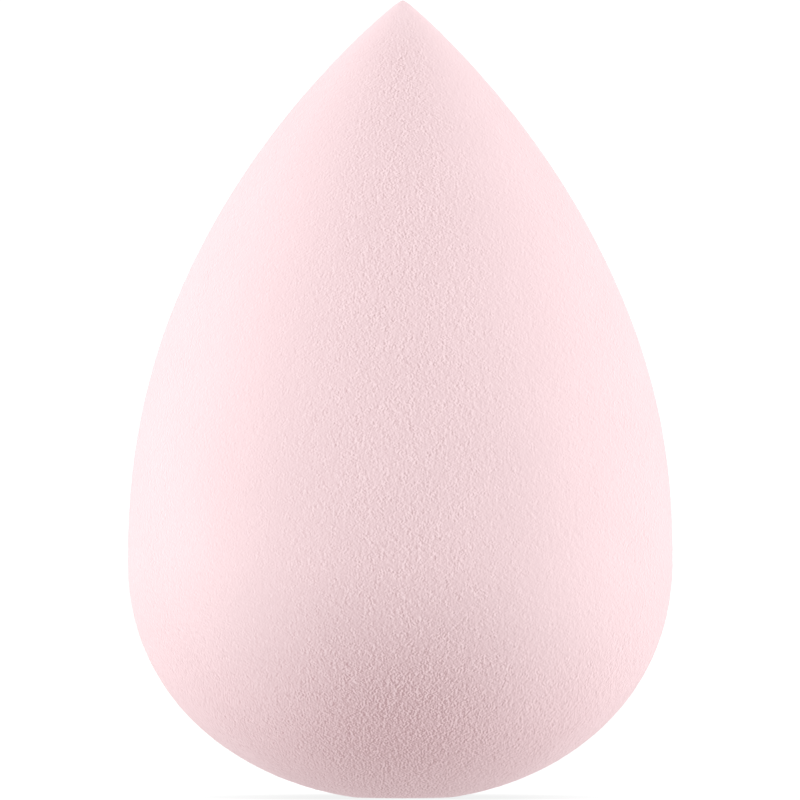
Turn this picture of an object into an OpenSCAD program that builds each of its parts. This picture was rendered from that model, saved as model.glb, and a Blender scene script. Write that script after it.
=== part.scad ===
// Makeup sponge: one moulded teardrop of soft, fine-pored foam.
// Millimetres, +Z up. The origin is the centre of the resting face under the base.

/* [Size] */
// Height from the resting face to the tip
sponge_h = 60; // [40:0.5:90]
// Diameter at the belly, the widest ring
belly_d = 41; // [25:0.5:60]
// Height of the belly above the resting face
belly_h = 17.8; // [10:0.1:28]

/* [Tip and base] */
// Radius that blunts the tip
tip_r = 0.3; // [0.1:0.05:2]
// Depth that the sponge's own weight flattens under its base
rest_sag = 0.2; // [0.1:0.05:1]

/* [Fullness] */
// Fullness of the flank over the belly, where more carries the belly's width higher
flank_power = 2.18; // [1.6:0.02:3]
// Straightness of the flank under the tip, where less gives a rounder arch
taper_power = 0.96; // [0.8:0.01:1]
// Fullness of the base, where 2 is an ellipse and more is squarer
base_power = 2.1; // [2:0.05:3]

/* [Smoothness] */
// Rings from the belly to the tip
flank_rings = 40; // [24:1:60]
// Rings from the resting face to the belly
base_rings = 24; // [16:1:40]
// Facets of a full turn in the preview
$fn = 96; // [48:12:180]

/* [Hidden] */
belly_r = belly_d / 2;
// Rise from the belly to the tip
flank_h = sponge_h - belly_h;
// Depth from the belly to the base's lowest point before the foam sags
base_depth = belly_h + rest_sag;
// Angle of the base's arc at which the resting face cuts it
foot_angle = asin(belly_h / base_depth);
// Share of the tip's own paraboloid in the flank's squared radius
tip_share = 2 * tip_r * flank_h / (flank_power * pow(belly_r, 2));

// Radius of the base at an angle of its arc, 0 at the belly and 90 at the lowest point
function base_r(angle) =
    belly_r * pow(1 - pow(sin(angle), base_power), 1 / base_power);

// Radius of the flank at an angle of its arc, 0 at the belly and 90 at the tip. The swell is
// what is left of the belly's width, and the tip's share turns the point into a round end.
function flank_r(angle) =
    let (swell = 1 - pow(sin(angle), flank_power))
    belly_r * sqrt((1 - tip_share) * pow(swell, 2 * taper_power) + tip_share * swell);

// Half of the upright section, from the resting face up to the tip
function outline() = concat(
    [[0, 0]],
    [for (i = [base_rings : -1 : 1])
        let (angle = foot_angle * i / base_rings)
        [base_r(angle), belly_h - base_depth * sin(angle)]],
    [for (i = [0 : flank_rings])
        let (angle = 90 * i / flank_rings)
        [flank_r(angle), belly_h + flank_h * sin(angle)]]
);

module sponge() {
    color("mistyrose")
        rotate_extrude()
            polygon(outline());
}

sponge();
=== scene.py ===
"""Looks of a teardrop makeup sponge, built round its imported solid.

The sponge is one piece of soft, fine-pored foam. Its visible surface is a closed grid, worked out
from the solid's own section and then roughened with the crumb of the foam. The stage is a plain
white floor with soft boxes round it. Every length is in metres.
"""

import logging
import math
from dataclasses import dataclass, field
from enum import Enum

import bpy
import numpy as np
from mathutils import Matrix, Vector


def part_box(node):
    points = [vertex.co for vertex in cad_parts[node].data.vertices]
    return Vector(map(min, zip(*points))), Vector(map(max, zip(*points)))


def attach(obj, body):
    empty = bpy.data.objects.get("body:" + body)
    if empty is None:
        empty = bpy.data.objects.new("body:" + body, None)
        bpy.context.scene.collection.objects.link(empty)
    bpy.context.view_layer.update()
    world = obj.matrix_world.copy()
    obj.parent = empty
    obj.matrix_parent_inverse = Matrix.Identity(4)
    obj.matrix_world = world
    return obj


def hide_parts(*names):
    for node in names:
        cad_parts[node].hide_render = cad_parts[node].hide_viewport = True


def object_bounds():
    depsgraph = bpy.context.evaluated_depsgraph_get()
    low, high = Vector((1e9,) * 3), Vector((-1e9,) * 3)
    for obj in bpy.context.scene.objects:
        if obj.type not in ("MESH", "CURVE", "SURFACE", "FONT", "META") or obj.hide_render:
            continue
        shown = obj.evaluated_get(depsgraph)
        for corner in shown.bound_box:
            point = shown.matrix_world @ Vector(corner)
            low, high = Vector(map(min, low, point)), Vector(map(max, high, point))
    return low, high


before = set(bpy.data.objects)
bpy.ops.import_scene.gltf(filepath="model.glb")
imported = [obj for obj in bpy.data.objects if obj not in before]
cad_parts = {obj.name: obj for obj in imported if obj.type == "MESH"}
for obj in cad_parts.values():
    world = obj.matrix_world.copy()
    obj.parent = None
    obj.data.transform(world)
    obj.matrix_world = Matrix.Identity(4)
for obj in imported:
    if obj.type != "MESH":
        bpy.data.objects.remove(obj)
cad_low, cad_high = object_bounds()

MM = 0.001
LOG = logging.getLogger("makeup_sponge")

# The middle of a noise texture's result, and the limits between which nearly all of it lies
NOISE_MIDDLE = 0.5
NOISE_LOW = 0.3
NOISE_HIGH = 0.7
# Radius of the smallest pore, as a share of the largest one's
SMALLEST_PORE = 0.5
# Places of the two colours among a Mix node's inputs, and of the mixed one among its outputs
MIX_FIRST = 6
MIX_SECOND = 7
MIX_RESULT = 2
# Watts that a square metre of a light's face takes for each unit of its brightness
FACE_WATTS = 4
# Shortest length that anything is divided by
SHORTEST = 1e-9

Colour = tuple[float, float, float]
Socket = bpy.types.NodeSocket
Settable = float | Colour | Socket


class Graph:
    """A shader node tree, with short ways to add nodes and join them."""

    def __init__(self, tree: bpy.types.NodeTree) -> None:
        """Takes a node tree and empties it.

        Args:
            tree: The tree of a material, a world or a node group.
        """
        self.tree = tree
        tree.nodes.clear()

    def add(
        self, kind: str, inputs: dict[str | int, Settable] | None = None, **settings: object
    ) -> bpy.types.Node:
        """Adds one node, sets it up and joins its inputs.

        Args:
            kind: Blender's name for the kind of node, without its leading "ShaderNode".
            inputs: For each input, by name or place, a value or the socket that feeds it.
            settings: The node's own properties.

        Returns:
            The new node.
        """
        node = self.tree.nodes.new(kind if kind.startswith("NodeGroup") else "ShaderNode" + kind)
        for name, value in settings.items():
            setattr(node, name, value)
        for name, value in (inputs or {}).items():
            self.feed(node.inputs[name], value)
        return node

    def feed(self, socket: Socket, value: Settable) -> None:
        """Joins an input to the socket that feeds it, or gives it a fixed value.

        Args:
            socket: The input.
            value: A socket to join it to, a number, or a colour of three numbers.
        """
        if isinstance(value, Socket):
            self.tree.links.new(value, socket)
        elif isinstance(value, tuple) and socket.type == "RGBA":
            socket.default_value = (*value, 1.0)
        else:
            socket.default_value = value

    def math(self, operation: str, *values: Settable) -> Socket:
        """Works out one sum on sockets or numbers.

        Args:
            operation: The Math node's operation, such as "ADD".
            values: What it works on, in order.

        Returns:
            The socket that holds the result.
        """
        return self.add("Math", dict(enumerate(values)), operation=operation).outputs[0]

    def vector(self, operation: str, inputs: dict[str | int, Settable]) -> Socket:
        """Works out one sum on vectors.

        Args:
            operation: The Vector Math node's operation, such as "CROSS_PRODUCT".
            inputs: What it works on, by name or place.

        Returns:
            The socket that holds the result.
        """
        return self.add("VectorMath", inputs, operation=operation).outputs[0]

    def fade(
        self, value: Settable, start: Settable, end: Settable, first: Settable = 0.0, last: Settable = 1.0
    ) -> Socket:
        """Goes softly from one value to another while a third runs over a range.

        Args:
            value: What runs.
            start: Where the range starts.
            end: Where it ends.
            first: The result at the start and before it.
            last: The result at the end and after it.

        Returns:
            The socket that holds the result.
        """
        limits = {"Value": value, "From Min": start, "From Max": end, "To Min": first, "To Max": last}
        return self.add("MapRange", limits, interpolation_type="SMOOTHSTEP").outputs["Result"]

    def place(self, group: bpy.types.NodeTree, inputs: dict[str, Settable]) -> bpy.types.Node:
        """Places a node group.

        Args:
            group: The group.
            inputs: For each of its inputs, a value or the socket that feeds it.

        Returns:
            The new node.
        """
        return self.add("Group", inputs, node_tree=group)


@dataclass(frozen=True)
class TeardropSection:
    """Half of the sponge's upright section, from the tip down to the middle of the resting face.

    Attributes:
        height: From the resting face to the tip.
        belly_radius: Of the widest ring.
        belly_height: Of the widest ring above the resting face.
        tip_radius: Of the blunted tip.
        rest_sag: Depth that the sponge's own weight flattens under its base.
        flank_power: Fullness of the flank over the belly.
        taper_power: Straightness of the flank under the tip.
        base_power: Fullness of the base, where 2 is an ellipse.
        steps: Points on each of the section's stretches.
    """

    height: float
    belly_radius: float
    belly_height: float = 17.8 * MM
    tip_radius: float = 0.3 * MM
    rest_sag: float = 0.2 * MM
    flank_power: float = 2.18
    taper_power: float = 0.96
    base_power: float = 2.1
    steps: int = 3000

    def flank(self) -> tuple[np.ndarray, np.ndarray]:
        """The stretch from the tip down to the belly.

        With s the sine of an angle that runs from 90 degrees at the tip to 0 at the belly, the
        swell is 1 - s^flank_power. The squared radius is the belly's, times a blend of
        swell^(2 taper_power) and swell itself, whose share rounds the tip to its radius.

        Returns:
            Radii and heights, as two arrays of the same length.
        """
        rise = self.height - self.belly_height
        sine = np.sin(np.linspace(math.pi / 2, 0, self.steps))
        swell = np.clip(1 - sine**self.flank_power, 0, 1)
        tip_share = 2 * self.tip_radius * rise / (self.flank_power * self.belly_radius**2)
        squared = (1 - tip_share) * swell ** (2 * self.taper_power) + tip_share * swell
        return self.belly_radius * np.sqrt(squared), self.belly_height + rise * sine

    def base(self) -> tuple[np.ndarray, np.ndarray]:
        """The stretch from the belly down to the resting face's rim.

        With s the sine of an angle that runs from 0 at the belly to where the resting face cuts
        the curve, the radius is the belly's times (1 - s^base_power)^(1 / base_power), and the
        height falls by s times the base's depth.

        Returns:
            Radii and heights, as two arrays of the same length.
        """
        depth = self.belly_height + self.rest_sag
        sine = np.sin(np.linspace(0, math.asin(self.belly_height / depth), self.steps))
        radius = self.belly_radius * (1 - sine**self.base_power) ** (1 / self.base_power)
        return radius, self.belly_height - depth * sine

    def whole(self) -> tuple[np.ndarray, np.ndarray]:
        """The whole half section: the flank, the base, and the resting face in to the axis.

        Returns:
            Radii and heights, as two arrays of the same length.
        """
        flank, base = self.flank(), self.base()
        face = np.linspace(base[0][-1], 0, self.steps)
        radius = np.concatenate([flank[0], base[0][1:], face[1:]])
        height = np.concatenate([flank[1], base[1][1:], np.zeros(self.steps - 1)])
        return radius, np.clip(height, 0, None)


class CubeSide(Enum):
    """The six sides of the cube that the sponge's grid is drawn on: the ways its columns and rows run."""

    FRONT = ((1, 0, 0), (0, 0, 1))
    RIGHT = ((0, 1, 0), (0, 0, 1))
    BACK = ((-1, 0, 0), (0, 0, 1))
    LEFT = ((0, -1, 0), (0, 0, 1))
    TIP = ((1, 0, 0), (0, 1, 0))
    FOOT = ((1, 0, 0), (0, -1, 0))


@dataclass(frozen=True)
class CubeGrid:
    """A closed grid of squares, drawn on a cube and blown up to a ball, so that no pole crowds it.

    Attributes:
        cells: Squares along each edge of the cube.
        map_columns: Sides of the cube beside each other on the UV map, which has two rows.
        map_margin: Share of each side's place on the map that is left free round it.
    """

    cells: int
    map_columns: int = 3
    map_margin: float = 0.02

    def lattice(self) -> np.ndarray:
        """Whole-number places of every side's points on a cube of 2 cells from middle to face.

        Each place is the side's outward way times cells, plus its columns' and rows' ways times
        a whole number that runs from -cells to cells in steps of 2.

        Returns:
            An array of sides x columns x rows x 3.
        """
        run = np.arange(-self.cells, self.cells + 1, 2)
        sides = []
        for side in CubeSide:
            across, along = (np.array(way) for way in side.value)
            outward = np.cross(across, along) * self.cells
            sides.append(outward + run[:, None, None] * across + run[None, :, None] * along)
        return np.array(sides)

    def merged(self) -> tuple[np.ndarray, np.ndarray]:
        """The grid's points, each kept once, and the squares between them.

        Points of two sides that share a place on the cube's edges get one number. The way from
        the middle is the tangent of a quarter turn times each share of the cube, so that equal
        steps are equal angles, brought to length 1.

        Returns:
            Unit ways out of the middle, one row a point, and four point numbers a square.
        """
        lattice = self.lattice()
        span = 2 * self.cells + 1
        key = (lattice + self.cells) @ np.array([span * span, span, 1])
        _, first, number = np.unique(key.ravel(), return_index=True, return_inverse=True)
        ways = np.tan(math.pi / 4 * lattice.reshape(-1, 3)[first] / self.cells)
        ways /= np.linalg.norm(ways, axis=1, keepdims=True)
        number = number.reshape(key.shape)
        corners = [number[:, :-1, :-1], number[:, 1:, :-1], number[:, 1:, 1:], number[:, :-1, 1:]]
        return ways, np.stack(corners, axis=-1).reshape(-1, 4)

    def uv(self) -> np.ndarray:
        """Places of the squares' corners on a map that holds the six sides beside each other.

        Returns:
            Two numbers from 0 to 1 for each corner of each square, in the squares' order.
        """
        run = self.map_margin + (1 - 2 * self.map_margin) * np.linspace(0, 1, self.cells + 1)
        u, v = np.meshgrid(run, run, indexing="ij")
        side = np.arange(len(CubeSide))[:, None, None]
        u = (side % self.map_columns + u) / self.map_columns
        v = (side // self.map_columns + v) * self.map_columns / len(CubeSide)
        place = np.stack([u, v], axis=-1)
        corners = [place[:, :-1, :-1], place[:, 1:, :-1], place[:, 1:, 1:], place[:, :-1, 1:]]
        return np.stack(corners, axis=-2).reshape(-1, 2)


@dataclass(frozen=True)
class RandomSpace:
    """Random numbers tied to the cells of an endless cubic lattice, the same on every run.

    Attributes:
        seed: Starts the table of random numbers.
        table_bits: The table holds 2 to this power rows of three numbers.
        stirrers: Large primes that spread a cell's three whole numbers over the table.
    """

    seed: int
    table_bits: int = 16
    stirrers: tuple[int, int, int] = (73856093, 19349663, 83492791)

    def of_cells(self, cells: np.ndarray) -> np.ndarray:
        """Three random numbers from 0 to 1 for each cell.

        The row read from the table is the exclusive-or of the cell's numbers times the stirrers.

        Args:
            cells: Whole numbers, one row of three a cell.

        Returns:
            An array of the same shape.
        """
        rows = 1 << self.table_bits
        table = np.random.default_rng(self.seed).random((rows, 3))
        stirred = cells.astype(np.int64) * np.array(self.stirrers)
        return table[(stirred[:, 0] ^ stirred[:, 1] ^ stirred[:, 2]) & (rows - 1)]

    def smooth(self, points: np.ndarray, size: float) -> np.ndarray:
        """Soft lumps from -1 to 1.

        Each lattice corner holds a random number, and between the eight corners round a point
        they are blended with weights 3 t^2 - 2 t^3 of its share t across the cell.

        Args:
            points: One row of x, y, z a point.
            size: The lattice's step.

        Returns:
            One number a point.
        """
        scaled = points / size
        cell = np.floor(scaled).astype(np.int64)
        share = scaled - cell
        share = share * share * (3 - 2 * share)
        total = np.zeros(len(points))
        for corner in np.ndindex(2, 2, 2):
            weight = np.where(np.array(corner) == 1, share, 1 - share).prod(axis=1)
            total += weight * self.of_cells(cell + np.array(corner))[:, 0]
        return 2 * total - 1

    def crumbs(self, points: np.ndarray, size: float) -> np.ndarray:
        """Even-sized crumbs, about -0.7 to 0.7, with none of the long lumps that smooth leaves.

        Each lattice corner holds a random way of length 1 and adds the share of the point's
        offset that lies along it. Between the eight corners round a point these are blended
        with weights 6 t^5 - 15 t^4 + 10 t^3 of its share t across the cell.

        Args:
            points: One row of x, y, z a point.
            size: The lattice's step.

        Returns:
            One number a point.
        """
        scaled = points / size
        cell = np.floor(scaled).astype(np.int64)
        share = scaled - cell
        fade = share**3 * (share * (share * 6 - 15) + 10)
        total = np.zeros(len(points))
        for corner in np.ndindex(2, 2, 2):
            way = 2 * self.of_cells(cell + np.array(corner)) - 1
            way /= np.maximum(np.linalg.norm(way, axis=1, keepdims=True), SHORTEST)
            weight = np.where(np.array(corner) == 1, fade, 1 - fade).prod(axis=1)
            total += weight * ((share - np.array(corner)) * way).sum(axis=1)
        return total


@dataclass(frozen=True)
class FoamRelief:
    """How far the cut foam stands above or below its smooth form.

    Attributes:
        swell_size: Length of the widest, faintest unevenness.
        swell_height: Its height.
        dimple_size: Length of the soft dimples that a finger feels.
        dimple_height: Their height.
        crumb_size: Length of the finest crumbs that the grid can hold.
        crumb_height: Their height.
        swell_seed: Starts the swell's random numbers.
        dimple_seed: Starts the dimples'.
        crumb_seed: Starts the crumbs'.
    """

    swell_size: float = 13 * MM
    swell_height: float = 0.05 * MM
    dimple_size: float = 1.5 * MM
    dimple_height: float = 0.008 * MM
    crumb_size: float = 0.42 * MM
    crumb_height: float = 0.03 * MM
    swell_seed: int = 41
    dimple_seed: int = 43
    crumb_seed: int = 45

    def heights(self, points: np.ndarray) -> np.ndarray:
        """The relief at each point: the swell, the dimples and the crumbs, added.

        Args:
            points: One row of x, y, z a point, on the smooth form.

        Returns:
            One height a point.
        """
        relief = self.swell_height * RandomSpace(self.swell_seed).smooth(points, self.swell_size)
        relief += self.dimple_height * RandomSpace(self.dimple_seed).crumbs(points, self.dimple_size)
        return relief + self.crumb_height * RandomSpace(self.crumb_seed).crumbs(points, self.crumb_size)


def new_group(name: str, inputs: dict[str, float | None], outputs: tuple[str, ...]) -> Graph:
    """Starts a node group.

    Args:
        name: The group's name.
        inputs: Each input's name and first value, or None for a vector.
        outputs: The names of its outputs, all of them numbers.

    Returns:
        The group's graph, which holds the group's input node.
    """
    tree = bpy.data.node_groups.new(name, "ShaderNodeTree")
    for label, value in inputs.items():
        kind = "NodeSocketVector" if value is None else "NodeSocketFloat"
        socket = tree.interface.new_socket(label, in_out="INPUT", socket_type=kind)
        if value is not None:
            socket.default_value = value
    for label in outputs:
        tree.interface.new_socket(label, in_out="OUTPUT", socket_type="NodeSocketFloat")
    graph = Graph(tree)
    graph.add("NodeGroupInput")
    return graph


def crumb_group() -> bpy.types.NodeTree:
    """The node group for crumb: close, wandering ridges with hollows between them.

    The same noise is read a short way to each side of a spot. The mean of the two is the height,
    and their difference is how much higher the foam stands on one side than on the other.

    Returns:
        The group, with the inputs Vector, Reach, Size and Wander, and the outputs Height and Lean,
        which lie about 0.
    """
    inputs = {"Vector": None, "Reach": None, "Size": MM, "Wander": 0.0}
    graph = new_group("foam_crumb", inputs, ("Height", "Lean"))
    given = graph.tree.nodes[0].outputs
    scale = graph.math("DIVIDE", 1.0, given["Size"])
    sides = []
    for way in ("ADD", "SUBTRACT"):
        spot = graph.vector(way, {0: given["Vector"], 1: given["Reach"]})
        values = {"Vector": spot, "Scale": scale, "Detail": 0.0, "Distortion": given["Wander"]}
        sides.append(graph.add("TexNoise", values).outputs["Fac"])
    mean = graph.math("MULTIPLY_ADD", graph.math("ADD", *sides), 1 / len(sides), -NOISE_MIDDLE)
    lean = graph.math("SUBTRACT", *sides)
    graph.add("NodeGroupOutput", {"Height": mean, "Lean": lean})
    return graph.tree


def pore_group() -> bpy.types.NodeTree:
    """The node group for open pores: round pits, one to a random cell of space, with soft rims.

    Returns:
        The group, with the inputs Vector, Size, Radius, Rim and Share, and the output Pit, which
        is 0 round a pore and 1 inside it.
    """
    inputs = {"Vector": None, "Size": MM, "Radius": 0.3, "Rim": 0.2, "Share": 1.0}
    graph = new_group("foam_pores", inputs, ("Pit",))
    given = graph.tree.nodes[0].outputs
    scale = graph.math("DIVIDE", 1.0, given["Size"])
    cells = graph.add("TexVoronoi", {"Vector": given["Vector"], "Scale": scale})
    chance = graph.add("SeparateColor", {0: cells.outputs["Color"]}).outputs
    size = graph.math("MULTIPLY_ADD", chance[0], 1 - SMALLEST_PORE, SMALLEST_PORE)
    radius = graph.math("MULTIPLY", size, given["Radius"])
    inner = graph.math("SUBTRACT", radius, given["Rim"])
    pit = graph.fade(cells.outputs["Distance"], radius, inner)
    there = graph.math("LESS_THAN", chance[1], given["Share"])
    graph.add("NodeGroupOutput", {"Pit": graph.math("MULTIPLY", pit, there)})
    return graph.tree


@dataclass(frozen=True)
class Crumb:
    """One size of the foam's crumb, as its surface shows it.

    Attributes:
        size: Its length.
        reach: How far to each side of a spot its ridges and hollows are told apart.
        height: Its height.
        lean: How strongly its sides are painted into the foam's colour, as painted light on one side of a
            ridge and painted shade on the other.
        depth: How strongly its heights are painted into the foam's colour, as painted light on the tops and
            painted shade in the hollows.
        wander: How far its ridges stray.
    """

    size: float
    reach: float
    height: float
    lean: float
    depth: float
    wander: float = 0.4


@dataclass(frozen=True)
class FoamFinish:
    """The dry, matte surface of pale pink sponge foam.

    The crumb's relief is painted into the colour, as light on its ridges and shade in its hollows.
    The strength of that painted light and shade, and a painted shade of the tone, change over the
    sponge, by height and by the angle from its front or back. That is painted on, to match the photo
    where the lights alone don't. It is the same at the front and the back, and stays on the foam in
    every view.

    Attributes:
        ridge: Colour of the highest walls between the hollows, in linear light, painted lighter with the
            light that they catch.
        hollow: Colour of the deepest hollows, painted darker with the shade in them, and pinker with the
            light that the foam around them bounces in.
        level: Where the tone of smooth foam lies between the ridge and the hollow, from 0 to 1, in colour
            and in roughness.
        painted_shade: Painted shade: how much further towards a hollow the tone is painted along the front
            and the back.
        painted_shade_low: The same near the base.
        painted_shade_foot: The same at the foot.
        painted_shade_base: Height up to which the painted shade is as near the base.
        painted_shade_top: Height from which it is as usual.
        painted_shade_end: Sine of the angle from the front or the back at which the painted shade ends.
        painted_shade_end_foot: The same at the foot, where more than 1 leaves some painted shade at the
            sides.
        foot_height: Height at which the painted shade starts to widen towards the foot.
        crumbs: The crumb's sizes, from fine to coarse.
        axis_blur: How near the axis one side of the sponge melts into another.
        foot_blur: The same at the foot.
        calm: Share of the crumb's painted light and shade that is left on the two sides.
        calm_low: The same near the base.
        calm_start: Sine of the angle from the front or the back at which the crumb and the painted shade
            start to fade.
        calm_end: Sine of the angle at which the crumb has faded.
        side_gain: How much of its strength the crumb gets back at the very side.
        side_painted_shade: The painted shade there.
        side_painted_shade_low: The same near the base, where less than 0 is painted light, lighter than
            plain foam.
        side_start: Sine of the angle at which both start.
        side_end: Sine of the angle at which both are full.
        tip_calm: Share of the crumb that is left at the tip.
        tip_painted_shade: How much is added to the painted shade there, where less than 0 is painted light.
        tip_start: Height at which both start.
        tip_end: Height at which both are full.
        low_height: Height up to which the crumb is at its strongest, and under which the painted shade and
        the blur of the foot come in.
        low_end: Height from which it is as usual.
        low_gain: How much stronger it is at its strongest.
        low_tint: How much more saturated the foam's colour is there, as part of the painted shade at the
            base.
        clump_size: Length of the small clumps in which the crumb comes stronger or weaker.
        clump: How much stronger or weaker it comes in one.
        mottle_size: Length of the faint patches of colour.
        mottle: How much lighter or darker a patch may be.
        mottle_detail: How many finer sizes of patch lie in them.
        pore_size: Step between the small open pores.
        pore_radius: Radius of the largest of them.
        pore_depth: Their depth.
        pore_share: Share of the steps that hold one.
        pore_shade: How far one is painted towards a full hollow's shade.
        speck_size: Step between the few larger pores that show as specks of painted shade.
        speck_radius: Radius of the largest of them.
        speck_depth: Their depth.
        speck_share: Share of the steps that hold one.
        rim: Width of a pore's soft rim, as a share of its radius.
        roughness: Of the walls.
        hollow_roughness: Inside the pores.
        shine: Specular level of the foam's skin.
        fuzz: Weight of the soft sheen that the torn cell walls give at a low angle.
    """

    ridge: Colour = (0.990, 0.788, 0.815)
    hollow: Colour = (0.638, 0.411, 0.434)
    level: float = 0.285
    painted_shade: float = 0.055
    painted_shade_low: float = 0.245
    painted_shade_foot: float = 0.15
    painted_shade_base: float = 5 * MM
    painted_shade_top: float = 24 * MM
    painted_shade_end: float = 0.64
    painted_shade_end_foot: float = 1.2
    foot_height: float = 8 * MM
    crumbs: tuple[Crumb, ...] = (
        Crumb(size=0.15 * MM, reach=0.05 * MM, height=0.02 * MM, lean=1.02, depth=0.23),
        Crumb(size=0.32 * MM, reach=0.08 * MM, height=0.02 * MM, lean=0.34, depth=0.12),
    )
    axis_blur: float = 2 * MM
    foot_blur: float = 5 * MM
    calm: float = 0.34
    calm_low: float = 0.58
    calm_start: float = 0.04
    calm_end: float = 0.62
    side_gain: float = 1.8
    side_painted_shade: float = 0.06
    side_painted_shade_low: float = -0.14
    side_start: float = 0.75
    side_end: float = 0.97
    tip_calm: float = 0.5
    tip_painted_shade: float = -0.15
    tip_start: float = 55.5 * MM
    tip_end: float = 59.5 * MM
    low_height: float = 4 * MM
    low_end: float = 15 * MM
    low_gain: float = 2.3
    low_tint: float = 1.13
    clump_size: float = 0.6 * MM
    clump: float = 0.4
    mottle_size: float = 6 * MM
    mottle: float = 0.01
    mottle_detail: float = 3.0
    pore_size: float = 0.5 * MM
    pore_radius: float = 0.12 * MM
    pore_depth: float = 0.02 * MM
    pore_share: float = 0.5
    pore_shade: float = 0.12
    speck_size: float = 6.0 * MM
    speck_radius: float = 0.09 * MM
    speck_depth: float = 0.06 * MM
    speck_share: float = 0.4
    rim: float = 0.7
    roughness: float = 0.86
    hollow_roughness: float = 0.97
    shine: float = 0.25
    fuzz: float = 0.1

    def material(self) -> bpy.types.Material:
        """The foam's material: crumb and pores drive its roughness, its bump and its colour, into which
        their light and shade are painted.

        Returns:
            The material.
        """
        made = bpy.data.materials.new("sponge_foam")
        made.use_nodes = True
        graph = Graph(made.node_tree)
        place = graph.add("TexCoord").outputs["Object"]
        up = graph.add("SeparateXYZ", {0: place}).outputs["Z"]
        blur = graph.fade(up, self.low_height, 0.0, self.axis_blur, self.foot_blur)
        off_axis = {0: place, 1: (1.0, 1.0, 0.0), 2: graph.add("CombineXYZ", {"Z": blur}).outputs[0]}
        outward = graph.vector("NORMALIZE", {0: graph.vector("MULTIPLY_ADD", off_axis)})
        across = graph.math("ABSOLUTE", graph.add("SeparateXYZ", {0: outward}).outputs["X"])
        shown, height = self.crumb(graph, place, outward)
        pores = self.pores(graph, place, self.pore_size, self.pore_radius, self.pore_share)
        specks = self.pores(graph, place, self.speck_size, self.speck_radius, self.speck_share)
        # The crumb's relief and the pores are painted into the colour as light and shade.
        shown = graph.math("MULTIPLY_ADD", pores, -self.pore_shade, shown)
        shown = graph.math("MULTIPLY", shown, self.strength(graph, place, up, across))
        # Painted shade along the front, the back and the base, and painted light low on the sides and near
        # the tip.
        plain = graph.math("ADD", self.level, self.depth(graph, up, across))
        sunk_and_shaded = graph.math("SUBTRACT", plain, shown)
        # The larger pores show as specks of painted shade.
        sunk_and_shaded = graph.math("MAXIMUM", sunk_and_shaded, specks)
        sunk_and_shaded = graph.add("Math", {0: sunk_and_shaded, 1: 0.0}, operation="ADD", use_clamp=True)
        height = graph.math("MULTIPLY_ADD", pores, -self.pore_depth, height)
        height = graph.math("MULTIPLY_ADD", specks, -self.speck_depth, height)
        bump = graph.add("Bump", {"Strength": 1.0, "Distance": 1.0, "Height": height})
        sunk_and_shaded_share = sunk_and_shaded.outputs[0]
        spread = self.hollow_roughness - self.roughness
        values = {
            "Base Color": self.colour(graph, place, up, sunk_and_shaded_share),
            "Roughness": graph.math("MULTIPLY_ADD", sunk_and_shaded_share, spread, self.roughness),
            "Specular IOR Level": self.shine,
            "Sheen Weight": self.fuzz,
            "Normal": bump.outputs["Normal"],
        }
        surface = graph.add("BsdfPrincipled", values)
        graph.add("OutputMaterial", {"Surface": surface.outputs[0]})
        return made

    def crumb(self, graph: Graph, place: Socket, outward: Socket) -> tuple[Socket, Socket]:
        """Places the crumb group once for each size, with its sides level round the sponge.

        Args:
            graph: The material's graph.
            place: The coordinates that the crumb follows.
            outward: The level way out of the sponge's axis, of length 1 except near the axis.

        Returns:
            How far the crumb's painted light and shade go towards ridge or hollow in the colour, and its
            height.
        """
        shared = bpy.data.node_groups.get("foam_crumb") or crumb_group()
        along = graph.vector("CROSS_PRODUCT", {0: outward, 1: (0.0, 0.0, 1.0)})
        shown, height = 0.0, 0.0
        for crumb in self.crumbs:
            reach = graph.vector("SCALE", {0: along, "Scale": crumb.reach})
            values = {"Vector": place, "Reach": reach, "Size": crumb.size, "Wander": crumb.wander}
            node = graph.place(shared, values)
            # Each size's sides and heights are painted into the colour as light and shade.
            shown = graph.math("MULTIPLY_ADD", node.outputs["Lean"], crumb.lean, shown)
            shown = graph.math("MULTIPLY_ADD", node.outputs["Height"], crumb.depth, shown)
            height = graph.math("MULTIPLY_ADD", node.outputs["Height"], crumb.height, height)
        return shown, height

    def pores(self, graph: Graph, place: Socket, size: float, radius: float, share: float) -> Socket:
        """Places the pore group once.

        Args:
            graph: The material's graph.
            place: The coordinates that it follows.
            size: Step between the pores.
            radius: Radius of the largest pore.
            share: Share of the steps that hold a pore.

        Returns:
            A mask of the pores.
        """
        shared = bpy.data.node_groups.get("foam_pores") or pore_group()
        ratio = radius / size
        values = {"Vector": place, "Size": size, "Radius": ratio, "Rim": self.rim * ratio, "Share": share}
        return graph.place(shared, values).outputs["Pit"]

    def strength(self, graph: Graph, place: Socket, up: Socket, across: Socket) -> Socket:
        """How strongly the crumb's painted light and shade show: less at the sides and the tip, more at the
        base, and in clumps.

        Args:
            graph: The material's graph.
            place: The surface's own coordinates.
            up: Height above the resting face.
            across: Sine of the angle from the front or the back.

        Returns:
            A factor, about 1 at the front of the upper part.
        """
        strength = graph.fade(up, self.low_end, self.low_height, 1.0, self.low_gain)
        calm = graph.fade(up, self.low_end, self.low_height, self.calm, self.calm_low)
        peak = graph.fade(up, self.low_end, self.low_height, self.side_gain, 1.0)
        factors = [
            graph.fade(across, self.calm_start, self.calm_end, 1.0, calm),
            graph.fade(across, self.side_start, self.side_end, 1.0, peak),
            graph.fade(up, self.tip_start, self.tip_end, 1.0, self.tip_calm),
            self.patches(graph, place, self.clump_size, self.clump, detail=0.0),
        ]
        for factor in factors:
            strength = graph.math("MULTIPLY", strength, factor)
        return strength

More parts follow.
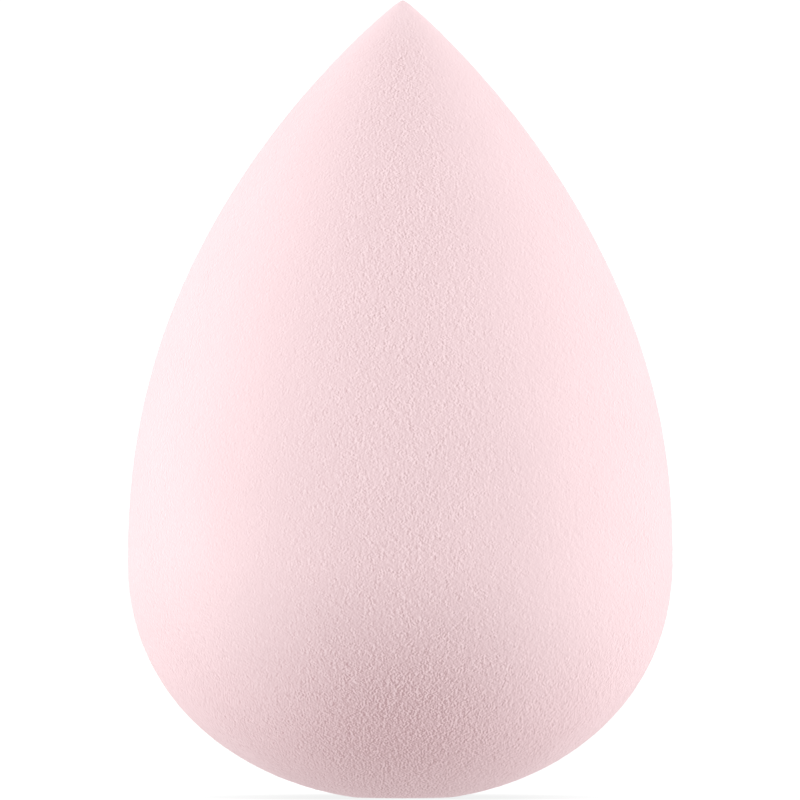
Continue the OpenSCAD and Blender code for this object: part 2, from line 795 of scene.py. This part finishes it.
    def depth(self, graph: Graph, up: Socket, across: Socket) -> Socket:
        """The painted shade: how much further towards a hollow the tone is painted at the front, back and
        sides, with painted light instead low on the sides and near the tip.

        Args:
            graph: The material's graph.
            up: Height above the resting face.
            across: Sine of the angle from the front or the back.

        Returns:
            The painted shade that is added to the tone of smooth foam, where less than 0 is painted light.
        """
        low = graph.fade(up, self.low_height, 0.0, self.painted_shade_low, self.painted_shade_foot)
        painted_shade = graph.fade(up, self.painted_shade_top, self.painted_shade_base, self.painted_shade, low)
        tip = graph.fade(up, self.tip_start, self.tip_end, 0.0, self.tip_painted_shade)
        end = graph.fade(up, self.foot_height, 0.0, self.painted_shade_end, self.painted_shade_end_foot)
        near = graph.fade(across, self.calm_start, end, 1.0, 0.0)
        middle = graph.math("MULTIPLY", graph.math("ADD", painted_shade, tip), near)
        side = graph.fade(up, self.low_end, self.low_height, self.side_painted_shade, self.side_painted_shade_low)
        side = graph.fade(across, self.side_start, self.side_end, 0.0, side)
        return graph.math("ADD", middle, side)

    def patches(self, graph: Graph, place: Socket, size: float, change: float, detail: float) -> Socket:
        """A factor about 1 that rises and falls in soft patches.

        Args:
            graph: The material's graph.
            place: The surface's own coordinates.
            size: Length of the patches.
            change: How far the factor goes above and below 1.
            detail: How many finer sizes of patch lie in them.

        Returns:
            A number socket.
        """
        noise = graph.add("TexNoise", {"Vector": place, "Scale": 1 / size, "Detail": detail})
        limits = {"From Min": NOISE_LOW, "From Max": NOISE_HIGH, "To Min": 1 - change, "To Max": 1 + change}
        return graph.add("MapRange", {"Value": noise.outputs["Fac"], **limits}).outputs["Result"]

    def colour(self, graph: Graph, place: Socket, up: Socket, sunk_and_shaded: Socket) -> Socket:
        """The foam's colour: painted light on the ridges, painted shade in the hollows and where the tone
        is painted deeper, pinker at the base with its painted shade, and faintly mottled.

        Args:
            graph: The material's graph.
            place: The surface's own coordinates.
            up: Height above the resting face.
            sunk_and_shaded: How far each spot goes towards the hollow's colour, from 0 on a ridge to 1 in a
                hollow, from its relief and from painted shade.

        Returns:
            A colour socket.
        """
        ends = {"Factor": sunk_and_shaded, MIX_FIRST: self.ridge, MIX_SECOND: self.hollow}
        tone = graph.add("Mix", ends, data_type="RGBA").outputs[MIX_RESULT]
        light = self.patches(graph, place, self.mottle_size, self.mottle, self.mottle_detail)
        tint = graph.fade(up, self.low_end, self.low_height, 1.0, self.low_tint)
        values = {"Saturation": tint, "Value": light, "Color": tone}
        return graph.add("HueSaturation", values).outputs["Color"]


@dataclass
class Sponge:
    """The sponge: a closed foam surface round the solid that it stands for.

    Attributes:
        node: The solid's name.
        body: The body that it rides on.
        slot: The record's material slot; it is not used.
        cells: Squares along each edge of its grid.
        bow: How far the axis leans to the right at the tip and at the base, beside its middle.
        bow_power: Power of the distance from mid-height with which the lean grows.
        relief: The foam's unevenness.
        finish: The foam's material.
    """

    node: str = "sponge"
    body: str = "root"
    slot: str = "foam"
    cells: int = 256
    bow: float = 0.2 * MM
    bow_power: int = 4
    relief: FoamRelief = field(default_factory=FoamRelief)
    finish: FoamFinish = field(default_factory=FoamFinish)

    def section(self) -> TeardropSection:
        """The sponge's section, with its height and its belly read from the solid."""
        low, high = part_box(self.node)
        return TeardropSection(height=high.z - low.z, belly_radius=(high.y - low.y) / 2)

    def surface(self, ways: np.ndarray) -> np.ndarray:
        """Places of the foam's points.

        A point's angle from the tip, as a share of half a turn, is the share of the section's
        length at which it lies, and its turn about the axis is that of its way. It is moved
        along the form's outward normal by the relief, and sideways by the bow, which grows with
        a power of the distance from mid-height. Nothing goes under the resting face.

        Args:
            ways: Unit ways out of the grid's middle, one row a point.

        Returns:
            One row of x, y, z a point.
        """
        radius, height = self.section().whole()
        length = np.concatenate([[0], np.cumsum(np.hypot(np.diff(radius), np.diff(height)))])
        at = np.arccos(np.clip(ways[:, 2], -1, 1)) / math.pi * length[-1]
        outward = np.interp(at, length, -np.gradient(height, length))
        upward = np.interp(at, length, np.gradient(radius, length))
        level = ways[:, :2]
        turn = level / np.maximum(np.linalg.norm(level, axis=1, keepdims=True), SHORTEST)
        ring = np.interp(at, length, radius)
        form = np.column_stack([turn * ring[:, None], np.interp(at, length, height)])
        normal = np.column_stack([turn * outward[:, None], upward])
        normal /= np.linalg.norm(normal, axis=1, keepdims=True)
        placed = form + normal * self.relief.heights(form)[:, None]
        placed[:, 0] += self.bow * (2 * placed[:, 2] / height[0] - 1) ** self.bow_power
        placed[:, 2] = np.clip(placed[:, 2], 0, None)
        return placed

    def build(self) -> bpy.types.Object:
        """Makes the foam's mesh, dresses it and ties it to the frame.

        Returns:
            The foam object.
        """
        grid = CubeGrid(self.cells)
        ways, squares = grid.merged()
        mesh = bpy.data.meshes.new("sponge_foam")
        mesh.vertices.add(len(ways))
        mesh.vertices.foreach_set("co", self.surface(ways).astype(np.float32).ravel())
        mesh.loops.add(squares.size)
        mesh.loops.foreach_set("vertex_index", squares.astype(np.int32).ravel())
        mesh.polygons.add(len(squares))
        mesh.polygons.foreach_set("loop_start", np.arange(0, squares.size, 4, dtype=np.int32))
        mesh.polygons.foreach_set("use_smooth", np.ones(len(squares), bool))
        mesh.update(calc_edges=True)
        places = mesh.uv_layers.new(name="OFBake")
        places.data.foreach_set("uv", grid.uv().astype(np.float32).ravel())
        mesh.materials.append(self.finish.material())
        foam = bpy.data.objects.new("sponge_foam", mesh)
        bpy.context.scene.collection.objects.link(foam)
        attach(foam, self.body)
        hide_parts(self.node)
        return foam


@dataclass(frozen=True)
class SoftBox:
    """A soft box: a flat light that faces the sponge.

    Attributes:
        name: What the light is called.
        turn: Degrees round the sponge from the camera's side, to the right.
        rise: Degrees above the sponge's middle.
        distance: From the sponge's middle.
        width: Side of its square face.
        brightness: Of its face.
        tint: Colour of its light.
    """

    name: str
    turn: float
    rise: float
    distance: float
    width: float
    brightness: float
    tint: Colour = (1.0, 1.0, 1.0)

    def build(self, aim: Vector) -> bpy.types.Object:
        """Makes the light.

        Args:
            aim: The point that it faces.

        Returns:
            The light object.
        """
        turn, rise = math.radians(self.turn), math.radians(self.rise)
        way = Vector((math.cos(rise) * math.sin(turn), -math.cos(rise) * math.cos(turn), math.sin(rise)))
        data = bpy.data.lights.new(self.name, "AREA")
        data.shape = "SQUARE"
        data.size = self.width
        data.energy = FACE_WATTS * self.brightness * self.width**2
        data.color = self.tint
        light = bpy.data.objects.new(self.name, data)
        light.location = aim + way * self.distance
        light.rotation_euler = way.to_track_quat("Z", "Y").to_euler()
        light.visible_camera = False
        bpy.context.scene.collection.objects.link(light)
        return light


@dataclass(frozen=True)
class FloorFinish:
    """The plain white floor: the camera sees it glow from above, and all other light goes through it.

    Its shade round the foot comes from how open each spot of it is, and is the same in every view.

    Attributes:
        glow: Brightness of the open floor.
        shade: Share of the glow that is lost where the floor is least open.
        shade_reach: How far off the sponge can stand and still shade the floor.
        shade_start: Openness of the floor, from 0 to 1, below which the shade is full.
        shade_end: Openness above which there is no shade.
    """

    glow: float = 1.1
    shade: float = 0.2
    shade_reach: float = 20 * MM
    shade_start: float = 0.0
    shade_end: float = 0.8

    def material(self) -> bpy.types.Material:
        """The floor's material.

        Returns:
            The material.
        """
        made = bpy.data.materials.new("floor_paper")
        made.use_nodes = True
        graph = Graph(made.node_tree)
        darkest = self.glow * (1 - self.shade)
        opening = graph.add("AmbientOcclusion", {"Distance": self.shade_reach}).outputs["AO"]
        glow = graph.fade(opening, self.shade_start, self.shade_end, darkest, self.glow)
        lit = graph.add("Emission", {"Color": (1.0, 1.0, 1.0), "Strength": glow}).outputs[0]
        clear = graph.add("BsdfTransparent").outputs[0]
        seen = graph.add("LightPath").outputs["Is Camera Ray"]
        above = graph.math("SUBTRACT", 1.0, graph.add("NewGeometry").outputs["Backfacing"])
        shown = graph.math("MULTIPLY", seen, above)
        both = graph.add("MixShader", {0: shown, 1: clear, 2: lit}).outputs[0]
        graph.add("OutputMaterial", {"Surface": both})
        return made


@dataclass
class Studio:
    """The stage: the floor, the soft boxes, the white surroundings and the camera.

    Attributes:
        floor_side: Side of the square floor.
        surround: Brightness of the surroundings, as the sponge is lit by them.
        backdrop: Brightness of the surroundings, as the camera sees them.
        lens: The camera's focal length.
        sensor: Width of the camera's sensor.
        view_height_share: Height of the picture beside the sponge's.
        aim_share: Height of the picture's middle on the sponge, as a share of its height.
        boxes: The soft boxes.
    """

    floor_side: float = 4.0
    surround: float = 0.42
    backdrop: float = 1.1
    lens: float = 900.0
    sensor: float = 36.0
    view_height_share: float = 1.0035
    aim_share: float = 0.4982
    boxes: tuple[SoftBox, ...] = (
        SoftBox("left_box", -90, -14, 0.5, 0.62, 1.465, (1.0, 1.0, 0.988)),
        SoftBox("right_box", 90, -14, 0.5, 0.62, 1.525, (1.0, 1.0, 0.988)),
        SoftBox("front_left_fill", -35, 35, 0.6, 0.66, 0.93),
        SoftBox("front_right_fill", 35, 35, 0.6, 0.66, 0.64),
        SoftBox("back_left_fill", -145, 35, 0.6, 0.66, 0.65),
        SoftBox("back_right_fill", 145, 35, 0.6, 0.66, 0.6),
    )

    def build(self) -> None:
        """Makes the whole stage."""
        aim = Vector((0, 0, cad_high.z / 2))
        for box in self.boxes:
            box.build(aim)
            LOG.info("%s stands at %.0f degrees", box.name, box.turn)
        self.floor()
        self.surroundings()
        self.camera()
        bpy.context.scene.view_settings.view_transform = "Standard"

    def floor(self) -> bpy.types.Object:
        """Makes the floor, at the height of the resting face.

        Returns:
            The floor object.
        """
        half = self.floor_side / 2
        corners = [(-half, -half, 0), (half, -half, 0), (half, half, 0), (-half, half, 0)]
        mesh = bpy.data.meshes.new("floor")
        mesh.from_pydata([Vector(corner) for corner in corners], [], [(0, 1, 2, 3)])
        mesh.materials.append(FloorFinish().material())
        floor = bpy.data.objects.new("floor", mesh)
        bpy.context.scene.collection.objects.link(floor)
        return floor

    def surroundings(self) -> None:
        """Makes the world: white behind the sponge, and dimmer where it lights it."""
        world = bpy.data.worlds.new("studio")
        world.use_nodes = True
        graph = Graph(world.node_tree)
        seen = graph.add("LightPath").outputs["Is Camera Ray"]
        strength = graph.math("MULTIPLY_ADD", seen, self.backdrop - self.surround, self.surround)
        light = graph.add("Background", {"Color": (1.0, 1.0, 1.0), "Strength": strength})
        graph.add("OutputWorld", {"Surface": light.outputs[0]})
        bpy.context.scene.world = world

    def camera(self) -> bpy.types.Object:
        """Makes the camera: level, in front, and as far off as fits the picture's height.

        Returns:
            The camera object.
        """
        data = bpy.data.cameras.new("camera")
        data.lens, data.sensor_width = self.lens, self.sensor
        away = cad_high.z * self.view_height_share * self.lens / self.sensor
        camera = bpy.data.objects.new("camera", data)
        camera.location = (0, -away, cad_high.z * self.aim_share)
        camera.rotation_euler = (math.pi / 2, 0, 0)
        bpy.context.scene.collection.objects.link(camera)
        bpy.context.scene.camera = camera
        return camera


def main() -> None:
    """Builds the stage and the sponge."""
    logging.basicConfig(level=logging.INFO, format="%(name)s: %(message)s")
    Studio().build()
    foam = Sponge().build()
    LOG.info("%s has %d faces", foam.name, len(foam.data.polygons))


if __name__ == "__main__":
    main()
